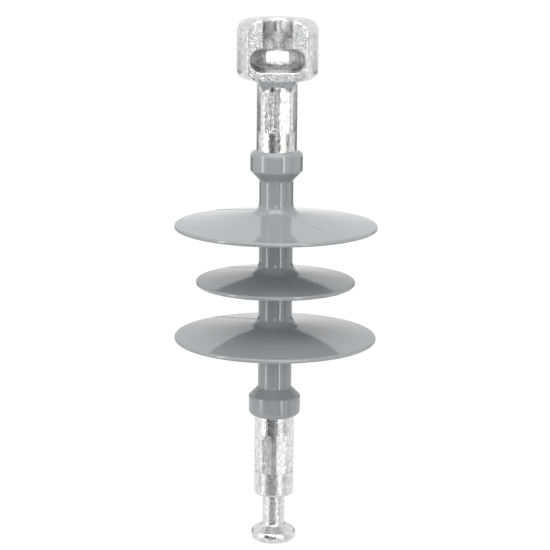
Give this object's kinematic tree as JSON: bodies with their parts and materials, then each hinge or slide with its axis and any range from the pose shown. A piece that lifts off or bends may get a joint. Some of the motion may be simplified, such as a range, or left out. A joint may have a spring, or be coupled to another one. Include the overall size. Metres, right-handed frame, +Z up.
{
  "type": "composite insulator",
  "caption": "Composite suspension insulator: a grey silicone housing with broad sheds between galvanised steel end fittings, with a socket at the top and a ball at the bottom.",
  "frame": {"origin": "centre of the mating ball as it hangs seated in the socket", "axes": "+Z up along the insulator's axis, from its own ball towards the socket; the socket opens towards -Y"},
  "size_m": [0.146, 0.146, 0.3836],
  "materials": {
    "galvanised_steel": "hot-dip galvanised, bright with fine spangle and scuffs",
    "silicone": "smooth moulded, semi-gloss mid grey",
    "glass_fibre": "pultruded glass-fibre reinforced resin, hidden inside"
  },
  "bodies": {
    "root": {"socket_fitting": "galvanised_steel", "housing": "silicone", "core_rod": "glass_fibre", "ball_fitting": "galvanised_steel"}
  },
  "joints": []
}
